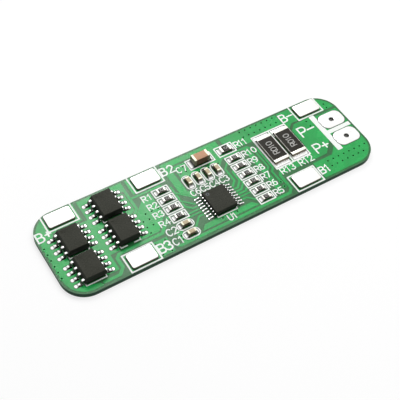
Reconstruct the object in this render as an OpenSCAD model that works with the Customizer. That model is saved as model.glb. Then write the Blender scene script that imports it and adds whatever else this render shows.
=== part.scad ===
// Battery management board for a stack of rechargeable cells.
// The board lies in the XY plane: X runs along it towards the two wire pads,
// Y towards its back edge, Z up. The origin is the middle of the underside.

/* [Board] */
// Length of the board, along X
board_l = 62; // [61:0.5:80]
// Width of the board, along Y
board_w = 17.5; // [17:0.25:24]
// Thickness of the finished board, with copper and solder mask
board_t = 1; // [0.8:0.1:2]
// Radius of the board's four corners
corner_r = 4.4; // [1:0.1:6]

/* [Layers] */
// Thickness of the etched copper on each face
copper_t = 0.07; // [0.035:0.005:0.105]
// Thickness of the solder mask over the copper
mask_over = 0.04; // [0.02:0.005:0.06]
// Relief of the masked copper over the masked bare laminate
mask_relief = 0.03; // [0.01:0.005:0.035]
// Thickness of the white printing ink
ink_t = 0.03; // [0.01:0.005:0.06]
// Thickness of the tin on a solder pad
tin_t = 0.08; // [0.05:0.01:0.12]
// Distance from the board's edge to the nearest copper
copper_edge = 0.4; // [0.2:0.05:0.6]
// Gap between a pad and the mask round it
mask_gap = 0.05; // [0.03:0.01:0.08]
// Gap between the pads of a chip part and the printed frame round them
frame_gap = 0.28; // [0.26:0.01:0.3]

/* [Vias and wire holes] */
// Finished bore of a via
via_d = 0.3; // [0.2:0.05:0.4]
// Wall of the copper plating in a via
plating_t = 0.03; // [0.02:0.005:0.05]
// Width of the copper ring round a via
via_ring = 0.2; // [0.1:0.05:0.25]
// Finished bore of a wire hole
wire_hole_d = 0.8; // [0.6:0.1:1.4]
// Wall of the tin that lines and narrows a wire hole
wire_wall = 0.17; // [0.16:0.01:0.2]
// Length of a wire pad, along X
wire_pad_l = 5; // [4:0.1:5.2]
// Width of a wire pad, along Y
wire_pad_w = 3.55; // [2.5:0.05:3.7]
// Corner radius of a wire pad
wire_pad_r = 1.3; // [0.3:0.1:1.7]
// Distance between the two wire holes
wire_pitch = 4.6; // [4.5:0.1:5]
// Distance from the board's end to the wire holes
wire_edge = 2.9; // [2.9:0.1:4]

/* [Cell tabs] */
// Length of a nickel cell tab
tab_l = 4.8; // [3.5:0.1:5]
// Width of a nickel cell tab
tab_w = 2.9; // [2:0.1:3]
// Thickness of a nickel cell tab
tab_t = 0.4; // [0.2:0.05:0.8]
// Corner radius of a nickel cell tab
tab_r = 0.4; // [0.1:0.05:1]
// Distance from the board's long edge to the middle of a tab
tab_edge = 1.95; // [1.9:0.05:2.2]
// Length of the printed frame round a tab
frame_l = 5.85; // [5.7:0.05:6]
// Width of the printed frame round a tab
frame_w = 3.85; // [3.7:0.05:3.9]

/* [Switching transistors] */
// Width of a transistor's moulded body, across its leads
fet_w = 3.9; // [3.6:0.1:4.1]
// Length of a transistor's moulded body, along its leads
fet_l = 4.9; // [4.8:0.1:5.1]
// Height of a transistor's moulded body
fet_h = 1.45; // [1.2:0.05:1.75]
// Width over the toes of a transistor's leads
fet_span = 6; // [5.8:0.1:6.3]
// Width of a transistor's lead
fet_lead_w = 0.42; // [0.3:0.02:0.5]
// Thickness of a transistor's lead
fet_lead_t = 0.22; // [0.15:0.01:0.25]
// Distance from the board's end to the first column of transistors
fet_edge = 5.1; // [5:0.1:5.4]
// Distance between the two columns of transistors
fet_pitch_x = 8.1; // [8:0.1:8.4]
// Distance between the two transistors of a column
fet_pitch_y = 5.85; // [5.7:0.05:5.9]

/* [Controller] */
// Width of the controller's moulded body, across its leads
chip_w = 4.4; // [4.2:0.1:4.5]
// Length of the controller's moulded body, along its leads
chip_l = 5; // [4.9:0.1:5.2]
// Height of the controller's moulded body
chip_h = 0.9; // [0.8:0.05:1.1]
// Width over the toes of the controller's leads
chip_span = 6.4; // [6.2:0.1:6.6]
// Width of a controller's lead
chip_lead_w = 0.25; // [0.19:0.01:0.3]
// Thickness of a controller's lead
chip_lead_t = 0.14; // [0.09:0.01:0.2]

/* [Small chip parts] */
// Length of a small resistor or capacitor
small_l = 1.6; // [1.5:0.05:1.7]
// Width of a small resistor or capacitor
small_w = 0.8; // [0.7:0.05:0.9]
// Height of a small resistor
res_h = 0.45; // [0.35:0.05:0.55]
// Height of a small capacitor
cap_h = 0.8; // [0.5:0.05:0.9]
// Length of the middle-sized resistor
middle_l = 2; // [1.9:0.05:2.1]
// Width of the middle-sized resistor
middle_w = 1.25; // [1.1:0.05:1.35]
// Height of the middle-sized resistor
middle_h = 0.5; // [0.4:0.05:0.65]
// Length of the large capacitor
large_l = 3.2; // [3:0.05:3.4]
// Width and height of the large capacitor
large_w = 1.6; // [1.4:0.05:1.75]
// Thickness of a chip part's plated end
end_t = 0.05; // [0.03:0.005:0.08]
// Distance between the rows of small chip parts
row_pitch = 2; // [2:0.01:2.04]

/* [Current shunts] */
// Length of a shunt resistor, along Y
shunt_l = 6.3; // [6.1:0.05:6.5]
// Width of a shunt resistor, along X
shunt_w = 3.1; // [2.9:0.05:3.3]
// Height of a shunt resistor
shunt_h = 0.6; // [0.5:0.05:0.8]
// Distance between the two shunt resistors
shunt_pitch = 3.8; // [3.7:0.05:3.9]

/* [Hidden] */
$fn = 48;
eps = 0.01;

left = -board_l / 2;
right = board_l / 2;
back = board_w / 2;
front = -board_w / 2;

// Heights of the layers, from the underside up
core_low = mask_over + copper_t;
core_high = board_t - core_low;
copper_high = core_high + copper_t;
bare_high = board_t - mask_relief;
pad_high = copper_high + tin_t;
ink_high = board_t + ink_t;

// Where things stand on the board
col_a = left + fet_edge;
col_b = col_a + fet_pitch_x;
fet_x = [col_a, col_b];
fet_y = [-1.57, 1.98];
fet_places = [for (c = [0, 1]) for (s = [1, -1]) [fet_x[c], fet_y[c] + s * fet_pitch_y / 2]];
chip_at = [-0.55, -3.45];
row_top = 3.25;
left_column = -8.1;
right_column = 6.95;
cap_row_y = 2.6;
cap_row_x = -2.95;
cap_pitch = 1.95;
row_gap = 0.16;
wide_frame_w = 2.4;
middle_at = [6.65, 5.78];
large_at = [1.35, 5.8];
shunt_mid = [right - 15.05, 1.58];
wire_x = right - wire_edge;
bar_x = wire_x - wire_pad_l / 2 - 0.45;
tab_back = back - tab_edge;
tab_front = front + tab_edge;
tab_places = [
    [left + 5.4, tab_back], [right - 15.5, tab_front], [-9.15, tab_back],
    [left + 13.45, tab_front], [right - 5.6, tab_back]
];

function row_y(i) = row_top - i * row_pitch;
// Small resistors 1 to 4 fill the left column's top rows, 5 to 10 the right column from below
function resistor_at(i) = i <= 4 ? [left_column, row_y(i - 1)] : [right_column, row_y(10 - i)];
// Capacitors 1 and 2 fill the left column's lowest rows, 3 to 6 stand side by side
function capacitor_at(i) =
    i <= 2 ? [left_column, row_y(6 - i)] : [cap_row_x + cap_pitch * (6 - i), cap_row_y];
function shunt_at(i) = shunt_mid + [(i == 12 ? 0.5 : -0.5) * shunt_pitch, 0];

// A leaded package: body width, length and height, stand-off, span over the toes,
// lead pitch, leads a side, lead width and thickness, length of a pad and its reach past the toe
stand_off = 0.1;
fet = [fet_w, fet_l, fet_h, stand_off, fet_span, 1.27, 4, fet_lead_w, fet_lead_t, 1.5, 0.6];
chip = [
    chip_w, chip_l, chip_h, stand_off, chip_span, 0.65, 8, chip_lead_w, chip_lead_t, 1.25, 0.45
];
function lead_y(p, i) = (i - (p[6] - 1) / 2) * p[5];
function pad_x(p) = p[4] / 2 + p[10] - p[9] / 2;
function pad_width(p) = p[7] * 1.75;
function lead_mid(p) = p[3] + p[2] / 2;
// How far a lead runs into its body and out of it before the first bend
lead_in = 0.3;
shoulder = 0.15;
leg_angle = 80;
body_draft = 0.1;

// A chip part: length, width, height, length of its plated ends,
// length and width of a pad and its reach past the end
small_res = [small_l, small_w, res_h, 0.32, 1, 1, 0.55];
small_cap = [small_l, small_w, cap_h, 0.35, 1, 1, 0.55];
middle_res = [middle_l, middle_w, middle_h, 0.4, 1.1, 1.4, 0.6];
large_cap = [large_l, large_w, large_w, 0.5, 1.35, 1.75, 0.72];
shunt = [shunt_l, shunt_w, shunt_h, 0.6, 1.6, 3.2, 0.75];
function chip_pad_x(p) = p[0] / 2 + p[6] - p[4] / 2;

// A row of via places: the first one, the step to the next and how many
function vias(x, y, step, n) = [for (i = [0:n - 1]) [x + i * step[0], y + i * step[1]]];
via_places = concat(
    vias(left + 0.55, 3.66, [0, -1.27], 7),
    vias(col_b + 5.05, 0.45, [1.22, 0], 3), vias(col_b + 3.9, -0.8, [1.2, 0], 2),
    vias(col_b + 3.9, -2.1, [1.2, 0], 2), vias(col_b + 3.9, -3.35, [0, 0], 1),
    vias(tab_places[3][0] + 3.2, tab_front + 1.1, [1.75, 0], 2),
    vias(tab_places[3][0] + 3.2, tab_front - 1.25, [1.75, 0], 2),
    vias(-9.87, -5.6, [0, -0.75], 3),
    vias(-3.15, 6.15, [1.15, 0], 2), vias(-3.15, 5, [1.15, 0], 2), vias(-2, 3.75, [1.95, 0], 4),
    vias(-1.9, -6.7, [2.9, 0], 2), vias(11.2, -5.2, [0, -1.1], 2),
    vias(11.2, back - 0.75, [1.22, 0], 7), vias(11.2, back - 2.05, [1.22, 0], 7),
    vias(right - 9.6, front + 3.3, [1.2, 0], 8), vias(right - 9.6, front + 2.05, [1.2, 0], 7),
    vias(right - 7.35, 4.2, [0, -1.3], 2), vias(right - 1.8, 6.2, [0, -1], 2)
);

// ---------- flat shapes ----------

module rounded(l, w, r) {
    square([l - 2 * r, w], center = true);
    square([l, w - 2 * r], center = true);
    for (x = [-1, 1], y = [-1, 1]) translate([x * (l / 2 - r), y * (w / 2 - r)]) circle(r);
}

module pill(l, w) {
    square([l - w, w], center = true);
    for (x = [-1, 1]) translate([x * (l - w) / 2, 0]) circle(w / 2);
}

// A printed or etched line of one width through a few points, with round ends
module line(points, w) {
    for (p = points) translate(p) circle(w / 2);
    for (i = [0:len(points) - 2]) {
        run = points[i + 1] - points[i];
        translate((points[i] + points[i + 1]) / 2) rotate(atan2(run[1], run[0]))
            square([norm(run), w], center = true);
    }
}

module outline_of(l, w, r, stroke) {
    difference() {
        rounded(l, w, r);
        rounded(l - 2 * stroke, w - 2 * stroke, max(r - stroke, 0.05));
    }
}

module board_outline(inset = 0) {
    rounded(board_l - 2 * inset, board_w - 2 * inset, corner_r - inset);
}

module package_pads(p, grow = 0) {
    for (s = [-1, 1], i = [0:p[6] - 1]) translate([s * pad_x(p), lead_y(p, i)])
        pill(p[9] + 2 * grow, pad_width(p) + 2 * grow);
}

module chip_pads(p, grow = 0) {
    for (s = [-1, 1]) translate([s * chip_pad_x(p), 0])
        rounded(p[4] + 2 * grow, p[5] + 2 * grow, 0.2);
}

// ---------- pads, copper and openings ----------

module fet_pads_2d(grow = 0) {
    for (at = fet_places) translate(at) package_pads(fet, grow);
}

module controller_pads_2d(grow = 0) {
    translate(chip_at) package_pads(chip, grow);
}

module small_pads_2d(grow = 0) {
    for (i = [1:10]) translate(resistor_at(i)) chip_pads(small_res, grow);
    for (i = [1:6]) translate(capacitor_at(i)) rotate(i <= 2 ? 0 : 90) chip_pads(small_cap, grow);
    translate(middle_at) chip_pads(middle_res, grow);
    translate(large_at) chip_pads(large_cap, grow);
}

module shunt_pads_2d(grow = 0) {
    for (i = [12, 13]) translate(shunt_at(i)) rotate(90) chip_pads(shunt, grow);
}

module tab_pads_2d(grow = 0) {
    for (at = tab_places) translate(at) rounded(tab_l + 2 * grow, tab_w + 2 * grow, tab_r);
}

module wire_pads_2d(grow = 0) {
    for (s = [-1, 1]) translate([wire_x, s * wire_pitch / 2])
        rounded(wire_pad_l + 2 * grow, wire_pad_w + 2 * grow, wire_pad_r);
}

module top_pads_2d(grow = 0) {
    fet_pads_2d(grow);
    controller_pads_2d(grow);
    small_pads_2d(grow);
    shunt_pads_2d(grow);
    tab_pads_2d(grow);
    wire_pads_2d(grow);
}

module via_holes_2d(wall = 0) {
    for (at = via_places) translate(at) circle(via_d / 2 + wall);
}

module wire_holes_2d(wall = 0) {
    for (s = [-1, 1]) translate([wire_x, s * wire_pitch / 2]) circle(wire_hole_d / 2 + wall);
}

// Holes as drilled, before they are lined
module drill_2d() {
    via_holes_2d(plating_t);
    wire_holes_2d(wire_wall);
}

module via_rings_2d() {
    for (at = via_places) translate(at) circle(via_d / 2 + via_ring);
}

// Copper areas of the top face; what runs past the edge is trimmed to the board
module top_areas_2d() {
    shunt_x = shunt_mid[0];
    // First cell plus tab and the sources of the first column
    polygon([
        [left, back], [left + 8.5, back], [left + 8.5, tab_back - 2.25], [left + 3, tab_back - 2.25],
        [left + 3, -6.9], [col_a + 0.4, -7.75], [col_a + 0.7, -8.1], [col_a + 0.5, front],
        [left, front]
    ]);
    // Drains shared by both columns
    polygon([
        [col_a + 2.1, 4.15], [col_a + 4.15, 4.15], [col_a + 4.15, back], [col_b + 4.55, back],
        [col_b + 4.55, 6.5], [col_b + 1.8, 6.5], [col_b + 1.8, 7.6], [col_b - 2.1, 7.6],
        [col_b - 2.1, -3.85], [col_a + 4.15, -3.85], [col_a + 4.15, -6.95], [col_a + 2.1, -6.95]
    ]);
    // Island beside the third transistor
    polygon([
        [col_b + 1.8, 6.2], [col_b + 3.5, 6.2], [col_b + 3.85, 5.85], [col_b + 3.85, 2.2],
        [col_b + 3.3, 1.65], [col_b + 1.8, 1.65]
    ]);
    // Area beside the fourth transistor
    polygon([
        [col_b + 1.6, 0.35], [col_b + 2.95, 0.35], [col_b + 5.85, 3.2], [col_b + 5.85, 4], [-10, 4],
        [-10, -1.1], [col_b + 5.2, -3.8], [col_b + 1.6, -3.8]
    ]);
    // Tabs of the third, second and first cells
    translate([tab_places[3][0] - 2.65, front]) square([8.1, 3.5]);
    translate([tab_places[2][0] - 3.4, back - 3.75]) square([6.4, 3.75]);
    translate([tab_places[1][0] - 2.6, front]) square([5.4, 3.7]);
    // Left ends of the first two capacitors
    polygon([[-10.3, -5.2], [-9.3, -5.2], [-8.8, -7.2], [-10.3, -8.2]]);
    // Long area along the back edge
    polygon([
        [-5.5, back], [6.15, back], [6.15, 4.8], [5.1, 4.8], [5.1, 4.3], [3.8, 3], [2.3, 3],
        [2.3, 7.3], [-4.15, 7.3], [-4.15, 1], [-3.3, 1], [-3.3, -0.1], [-4, -0.1], [-5.5, 1.4]
    ]);
    // Area joining the row of capacitors
    polygon([[-3.6, 6.9], [0.35, 6.9], [0.35, 4.5], [1.3, 4.2], [1.3, 3.1], [-3.6, 3.1]]);
    // Area in front of the controller
    polygon([[-6.2, -7.35], [-5.2, -6.3], [4.2, -6.3], [5.2, -7.35]]);
    // Shunt inlet along the back edge
    polygon([
        [6.95, back], [shunt_x + 3.4, back], [shunt_x + 3.65, 4.2], [shunt_x - 3.75, 4.2],
        [shunt_x - 3.75, 5.05], [6.95, 5.05]
    ]);
    // Cell minus tab
    polygon([
        [shunt_x + 3.7, back], [right, back], [right, 4.85], [shunt_x + 5, 5.2], [shunt_x + 3.7, 4.1]
    ]);
    // Shunt outlet and minus wire pad
    polygon([
        [shunt_x - 3.65, -1], [shunt_x - 3.65, -3.95], [right - 8.7, -3.95], [right - 6.1, -1.35],
        [right - 6.1, 0.3], [right, 0.3], [right, 4.3], [right - 5, 4.3], [right - 6.5, 4.75],
        [shunt_x + 5.25, 4.75], [shunt_x + 4, 3.55], [shunt_x + 4, -1]
    ]);
    // Plus wire pad
    polygon([
        [right - 12.3, -4.6], [right - 8, -4.6], [right - 6.1, -2.7], [right - 6.1, -0.3],
        [right, -0.3], [right, front], [right - 12.3, front]
    ]);
    // Outer ends of the right column of resistors
    translate([9.6, -7.3]) square([1, 11.6]);
}

// Narrow lines of the top face
module top_lines_2d() {
    // Gate lines of the transistors
    line([
        [col_a + 1, -7.9], [col_a + 3.8, -7.9], [col_a + 4.8, -6.9], [col_a + 4.8, -5],
        [col_a + 5.5, -4.35], [col_b + 5.5, -4.35], [-10, -2.05]
    ], 0.55);
    line([[col_b + 4.3, 7], [col_b + 4.3, 2.15], [col_b + 3.1, 0.95]], 0.5);
    line([[col_b + 4.7, 4.45], [-7.8, 4.45], [-7.2, 3.85]], 0.4);
    // Lines from the left column to the controller
    left_pin = chip_at[0] - pad_x(chip);
    for (w = [[0, 7, -1.4], [1, 6, -1.4], [2, 5, -0.75]]) {
        y0 = row_y(w[0]);
        y1 = chip_at[1] + lead_y(chip, w[1]);
        turn = left_column + 1.9;
        run = y0 + w[2] - y1;
        line([[left_column + 1, y0], [turn, y0], [turn, y0 + w[2]], [turn + run, y1], [left_pin, y1]],
            0.3);
    }
    for (i = [4, 3]) line([[left_column + 1, chip_at[1] + lead_y(chip, i)],
        [left_pin, chip_at[1] + lead_y(chip, i)]], 0.3);
    line([[left_pin, -4.42], [-5.2, -4.42], [-6.7, -5.95]], 0.35);
    // Lines from the controller to the right column
    right_pin = chip_at[0] + pad_x(chip);
    line([[right_pin, -1.82], [3.35, -1.82], [4.25, -0.9], [4.25, 2], [5.45, 3.2]], 0.35);
    line([[right_pin, -2.47], [3.95, -2.47], [5.05, -1.35], [5.05, 0.7], [5.6, 1.25]], 0.35);
    line([[right_pin, -3.12], [4.25, -3.12], [5.3, -2.1], [5.3, -1.2], [5.8, -0.75]], 0.35);
    line([[right_pin, -3.77], [4.7, -3.77], [5.9, -2.75]], 0.35);
    line([[right_pin, -4.42], [5.9, -4.42]], 0.3);
    line([[right_pin, -5.07], [4.1, -5.07], [5.8, -6.75]], 0.35);
    // Lines round the right column
    shunt_x = shunt_mid[0];
    line([
        [-11.2, -7.7], [-10.8, -7.95], [11.2, -7.95], [11.95, -7.2], [11.95, -4],
        [shunt_x - 3.55, -3.4]
    ], 0.55);
    line([[11.2, -5.2], [11.2, -2.5], [11.85, -1.8], [11.85, 3.2]], 0.4);
    line([[4.6, 4.45], [10.4, 4.45], [11.2, 3.6], [11.2, -1.3], [10.4, -2.1]], 0.35);
}

module top_copper_2d() {
    intersection() {
        board_outline(copper_edge);
        union() {
            top_areas_2d();
            top_lines_2d();
        }
    }
    top_pads_2d();
    via_rings_2d();
}

// Large copper areas of the underside, under the same vias
module bottom_copper_2d() {
    intersection() {
        board_outline(copper_edge);
        union() {
            translate([left, front]) square([14.6, board_w]);
            translate([left + 15.2, front]) square([-1.3 - left - 15.2, board_w]);
            translate([-0.7, front]) square([right - 11.2 + 0.7, board_w]);
            for (y = [front, 0.3]) translate([right - 10.6, y]) square([10.6, back - 0.3]);
        }
    }
    via_rings_2d();
}

// ---------- printed shapes ----------

module tab_frames_2d() {
    for (at = tab_places) {
        open = at[1] > 0 ? 2 : 0;
        translate(at + [0, open / 2]) outline_of(frame_l, frame_w + open, 0.15, 0.28);
    }
}

// Frame round the pads of a chip part, as wide as given
module chip_frame(p, w, r = 0.15) {
    outline_of(p[0] + 2 * (p[6] + frame_gap), w, r, 0.24);
}

module part_frames_2d() {
    for (i = [1:10]) translate(resistor_at(i)) chip_frame(small_res, row_pitch - row_gap);
    for (i = [1:6]) translate(capacitor_at(i)) rotate(i <= 2 ? 0 : 90)
        chip_frame(small_cap, row_pitch - row_gap, (row_pitch - row_gap) / 2 - eps);
    translate(middle_at) chip_frame(middle_res, wide_frame_w);
    translate(large_at) chip_frame(large_cap, wide_frame_w);
    translate(shunt_mid) {
        outline_of(2 * shunt_pitch, 8.5, 0.15, 0.3);
        square([0.3, 8.3], center = true);
    }
}

module package_frames_2d() {
    for (i = [0:3]) translate(fet_places[i]) difference() {
        outline_of(fet_w - 0.1, fet_l + 0.6, 0.1, 0.2);
        square([fet_w + 1, fet_l - 0.7], center = true);
        if (i >= 2) square([1.2, fet_l + 1], center = true);
    }
    translate(chip_at) difference() {
        outline_of(chip_w - 0.3, chip_l + 0.8, 0.1, 0.22);
        square([chip_w + 1, chip_l - 0.2], center = true);
    }
}

module wire_bar_2d() {
    translate([bar_x, 0.2]) rounded(1.1, 2 * wire_pitch, 0.15);
    translate([(bar_x + wire_x + wire_pad_l / 2) / 2, 0])
        square([wire_x + wire_pad_l / 2 - bar_x, wire_pitch - wire_pad_w - 0.2], center = true);
}

module print_2d() {
    difference() {
        intersection() {
            board_outline(0.05);
            union() {
                tab_frames_2d();
                part_frames_2d();
                package_frames_2d();
                wire_bar_2d();
            }
        }
        top_pads_2d(mask_gap);
        via_holes_2d(mask_gap);
    }
}

// ---------- board ----------

module laminate() {
    color([0.72, 0.7, 0.5]) translate([0, 0, core_low]) linear_extrude(core_high - core_low)
        difference() {
            board_outline();
            drill_2d();
        }
}

module top_copper() {
    color([0.8, 0.5, 0.3]) translate([0, 0, core_high]) linear_extrude(copper_t) difference() {
        top_copper_2d();
        drill_2d();
    }
}

module bottom_copper() {
    color([0.8, 0.5, 0.3]) translate([0, 0, mask_over]) linear_extrude(copper_t) difference() {
        bottom_copper_2d();
        drill_2d();
    }
}

// Plated walls of the vias
module via_barrels() {
    color([0.8, 0.5, 0.3]) for (at = via_places)
        translate([at[0], at[1], mask_over]) difference() {
            cylinder(d = via_d + 2 * plating_t, h = copper_high - mask_over);
            translate([0, 0, -eps]) cylinder(d = via_d, h = board_t);
        }
}

// Green lacquer: a film on the bare laminate and a raised film on the copper, open at the pads
module top_mask() {
    color([0.2, 0.55, 0.32]) {
        translate([0, 0, core_high]) linear_extrude(bare_high - core_high) difference() {
            board_outline();
            top_copper_2d();
        }
        translate([0, 0, copper_high]) linear_extrude(board_t - copper_high) difference() {
            top_copper_2d();
            top_pads_2d(mask_gap);
            via_holes_2d();
        }
    }
}

module bottom_mask() {
    color([0.2, 0.55, 0.32]) difference() {
        linear_extrude(core_low) difference() {
            board_outline();
            wire_pads_2d(mask_gap);
            via_holes_2d();
        }
        translate([0, 0, mask_over]) linear_extrude(board_t) bottom_copper_2d();
    }
}

module silkscreen() {
    color([0.95, 0.97, 0.95]) difference() {
        translate([0, 0, bare_high]) linear_extrude(ink_high - bare_high) print_2d();
        translate([0, 0, copper_high]) linear_extrude(board_t - copper_high) top_copper_2d();
    }
}

// ---------- solder pads ----------

// Solder that climbs from the pad to the end of a lead or a chip part
module fillet(from, reach, height, width) {
    rotate([90, 0, 0]) translate([0, 0, -width / 2]) linear_extrude(width)
        polygon([[from, 0], [from + reach, 0], [from, height]]);
}

module package_fillets(p) {
    for (s = [0, 180], i = [0:p[6] - 1]) rotate(s) translate([0, lead_y(p, i), 0])
        fillet(p[4] / 2, p[10] * 0.8, p[8] * 0.9, p[7] * 1.2);
}

module chip_fillets(p) {
    for (s = [0, 180]) rotate(s) fillet(p[0] / 2, p[6] * 0.8, p[2] * 0.45, p[1] * 0.9);
}

module tin_layer() {
    translate([0, 0, copper_high]) linear_extrude(tin_t) children();
}

module fet_pads() {
    color([0.8, 0.82, 0.82]) {
        tin_layer() fet_pads_2d();
        for (at = fet_places) translate([at[0], at[1], pad_high]) package_fillets(fet);
    }
}

module controller_pads() {
    color([0.8, 0.82, 0.82]) {
        tin_layer() controller_pads_2d();
        translate([chip_at[0], chip_at[1], pad_high]) package_fillets(chip);
    }
}

module small_pads() {
    color([0.8, 0.82, 0.82]) {
        tin_layer() small_pads_2d();
        translate([0, 0, pad_high]) {
            for (i = [1:10]) translate(resistor_at(i)) chip_fillets(small_res);
            for (i = [1:6]) translate(capacitor_at(i)) rotate(i <= 2 ? 0 : 90)
                chip_fillets(small_cap);
            translate(middle_at) chip_fillets(middle_res);
            translate(large_at) chip_fillets(large_cap);
        }
    }
}

module shunt_pads() {
    color([0.8, 0.82, 0.82]) {
        tin_layer() shunt_pads_2d();
        for (i = [12, 13]) translate([shunt_at(i)[0], shunt_at(i)[1], pad_high]) rotate(90)
            chip_fillets(shunt);
    }
}

module tab_pads() {
    color([0.8, 0.82, 0.82]) tin_layer() tab_pads_2d();
}

// Tinned pads on both faces, joined by the plated wall of the wire hole
module wire_pad(side) {
    color([0.88, 0.89, 0.88]) translate([wire_x, side * wire_pitch / 2, 0]) difference() {
        union() {
            linear_extrude(mask_over) rounded(wire_pad_l, wire_pad_w, wire_pad_r);
            cylinder(d = wire_hole_d + 2 * wire_wall, h = pad_high);
            translate([0, 0, copper_high]) linear_extrude(tin_t)
                rounded(wire_pad_l, wire_pad_w, wire_pad_r);
        }
        translate([0, 0, -eps]) cylinder(d = wire_hole_d, h = pad_high + 2 * eps);
    }
}

// ---------- nickel tabs ----------

module cell_tab(at) {
    color([0.86, 0.85, 0.8]) translate([at[0], at[1], pad_high]) linear_extrude(tab_t)
        rounded(tab_l, tab_w, tab_r);
}

// ---------- leaded packages ----------

// Points along an arc, from one angle to the next
function arc(at, r, from, to) =
    [for (k = [0:4]) at + r * [cos(from + (to - from) * k / 4), sin(from + (to - from) * k / 4)]];

// Side view of a gull-wing lead: out of the body, down a steep leg and along the pad
module lead_section(p) {
    t = p[8];
    r = 1.1 * t;
    root = p[0] / 2 - lead_in;
    toe = p[4] / 2;
    mid = lead_mid(p);
    leg = (mid - t / 2 - 2 * r * (1 - cos(leg_angle))) / sin(leg_angle);
    knee = [p[0] / 2 + shoulder, mid - r];
    heel = [knee[0] + 2 * r * sin(leg_angle) + leg * cos(leg_angle), t / 2 + r];
    polygon(concat(
        [[root, mid - t / 2], [root, mid + t / 2]],
        arc(knee, r + t / 2, 90, 90 - leg_angle),
        arc(heel, r - t / 2, 270 - leg_angle, 270),
        [[toe, t], [toe, 0]],
        arc(heel, r + t / 2, 270, 270 - leg_angle),
        arc(knee, r - t / 2, 90 - leg_angle, 90)
    ));
}

module package_leads(p, at) {
    color([0.78, 0.79, 0.8]) translate([at[0], at[1], pad_high])
        for (s = [0, 180], i = [0:p[6] - 1]) rotate(s)
            translate([0, lead_y(p, i) + p[7] / 2, 0]) rotate([90, 0, 0])
                linear_extrude(p[7]) lead_section(p);
}

// Cross-section of a moulded body: widest at the leads, with or without a bevel on a top edge
function body_section(size, p, bevel) = concat(
    [
        [-size / 2, lead_mid(p)],
        [-size / 2 + body_draft, p[3]],
        [size / 2 - body_draft, p[3]],
        [size / 2, lead_mid(p)],
        [size / 2 - body_draft, p[3] + p[2]],
        [-size / 2 + body_draft + bevel, p[3] + p[2]]
    ],
    bevel > 0 ? [[-size / 2 + body_draft * (1 - 2 * bevel / p[2]), p[3] + p[2] - bevel]] : []
);

// Moulded body with drafted sides, pockets for the leads, a bevel and a round mark at lead 1
module package_body(p, at, bevel) {
    color([0.22, 0.22, 0.21]) translate([at[0], at[1], pad_high]) difference() {
        intersection() {
            translate([0, p[1] / 2, 0]) rotate([90, 0, 0]) linear_extrude(p[1])
                polygon(body_section(p[0], p, bevel));
            translate([-p[0] / 2, 0, 0]) rotate([90, 0, 90]) linear_extrude(p[0])
                polygon(body_section(p[1], p, 0));
        }
        for (s = [-1, 1], i = [0:p[6] - 1])
            translate([s * p[0] / 2, lead_y(p, i), lead_mid(p)])
                cube([2 * lead_in, p[7], p[8]], center = true);
        translate([-p[0] / 2 + 1, p[1] / 2 - 0.85, p[3] + p[2] - 0.06])
            cylinder(r = 0.32, h = 1);
    }
}

module fet_body(i) {
    package_body(fet, fet_places[i - 1], 0.35);
}

module fet_leads(i) {
    package_leads(fet, fet_places[i - 1]);
}

// ---------- chip parts ----------

// Sits a chip part on its pads, turned by an angle
module seated(at, turn = 0) {
    translate([at[0], at[1], pad_high]) rotate(turn) children();
}

module ceramic_plate(p) {
    color([0.9, 0.88, 0.82]) translate([-p[0] / 2 + end_t, -p[1] / 2, end_t])
        cube([p[0] - 2 * end_t, p[1], p[2] - 2 * end_t]);
}

// Plated ends folded over the top, end and underside of the plate
module folded_ends(p) {
    color([0.82, 0.82, 0.8]) for (s = [0, 180]) rotate(s)
        translate([p[0] / 2 - p[3], p[1] / 2, 0]) rotate([90, 0, 0]) linear_extrude(p[1])
            difference() {
                square([p[3], p[2]]);
                translate([-eps, end_t]) square([p[3] - end_t + eps, p[2] - 2 * end_t]);
            }
}

module black_coat(p) {
    color([0.15, 0.15, 0.15]) translate([-p[0] / 2 + p[3], -p[1] * 0.47, p[2] - end_t])
        cube([p[0] - 2 * p[3], p[1] * 0.94, end_t]);
}

module bar(p, from, length, skin) {
    translate([from, 0, p[2] / 2]) rotate([90, 0, 90]) linear_extrude(length)
        rounded(p[1] - 2 * skin, p[2] - 2 * skin, 0.12 - skin);
}

module ceramic_block(p) {
    color([0.72, 0.55, 0.42]) bar(p, -p[0] / 2 + end_t, p[0] - 2 * end_t, end_t);
}

// Plated ends that cap all four sides of a capacitor
module capped_ends(p) {
    color([0.82, 0.82, 0.8]) for (s = [0, 180]) rotate(s) difference() {
        bar(p, p[0] / 2 - p[3], p[3], 0);
        bar(p, p[0] / 2 - p[3] - eps, p[3] - end_t + eps, end_t);
    }
}

module resistor(i) {
    if (i <= 10) seated(resistor_at(i)) ceramic_plate(small_res);
    if (i == 11) seated(middle_at) ceramic_plate(middle_res);
    if (i >= 12) seated(shunt_at(i), 90) ceramic_plate(shunt);
}

module capacitor(i) {
    if (i <= 6) seated(capacitor_at(i), i <= 2 ? 0 : 90) ceramic_block(small_cap);
    if (i == 7) seated(large_at) ceramic_block(large_cap);
}

module resistor_ends() {
    for (i = [1:10]) seated(resistor_at(i)) folded_ends(small_res);
    seated(middle_at) folded_ends(middle_res);
}

module resistor_coats() {
    for (i = [1:10]) seated(resistor_at(i)) black_coat(small_res);
    seated(middle_at) black_coat(middle_res);
}

module capacitor_ends() {
    for (i = [1:6]) seated(capacitor_at(i), i <= 2 ? 0 : 90) capped_ends(small_cap);
    seated(large_at) capped_ends(large_cap);
}

module shunt_ends() {
    for (i = [12, 13]) seated(shunt_at(i), 90) folded_ends(shunt);
}

module shunt_coats() {
    for (i = [12, 13]) seated(shunt_at(i), 90) black_coat(shunt);
}

// ---------- the whole board ----------

tab_names = ["tab_b_plus", "tab_b1", "tab_b2", "tab_b3", "tab_b_minus"];

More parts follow.
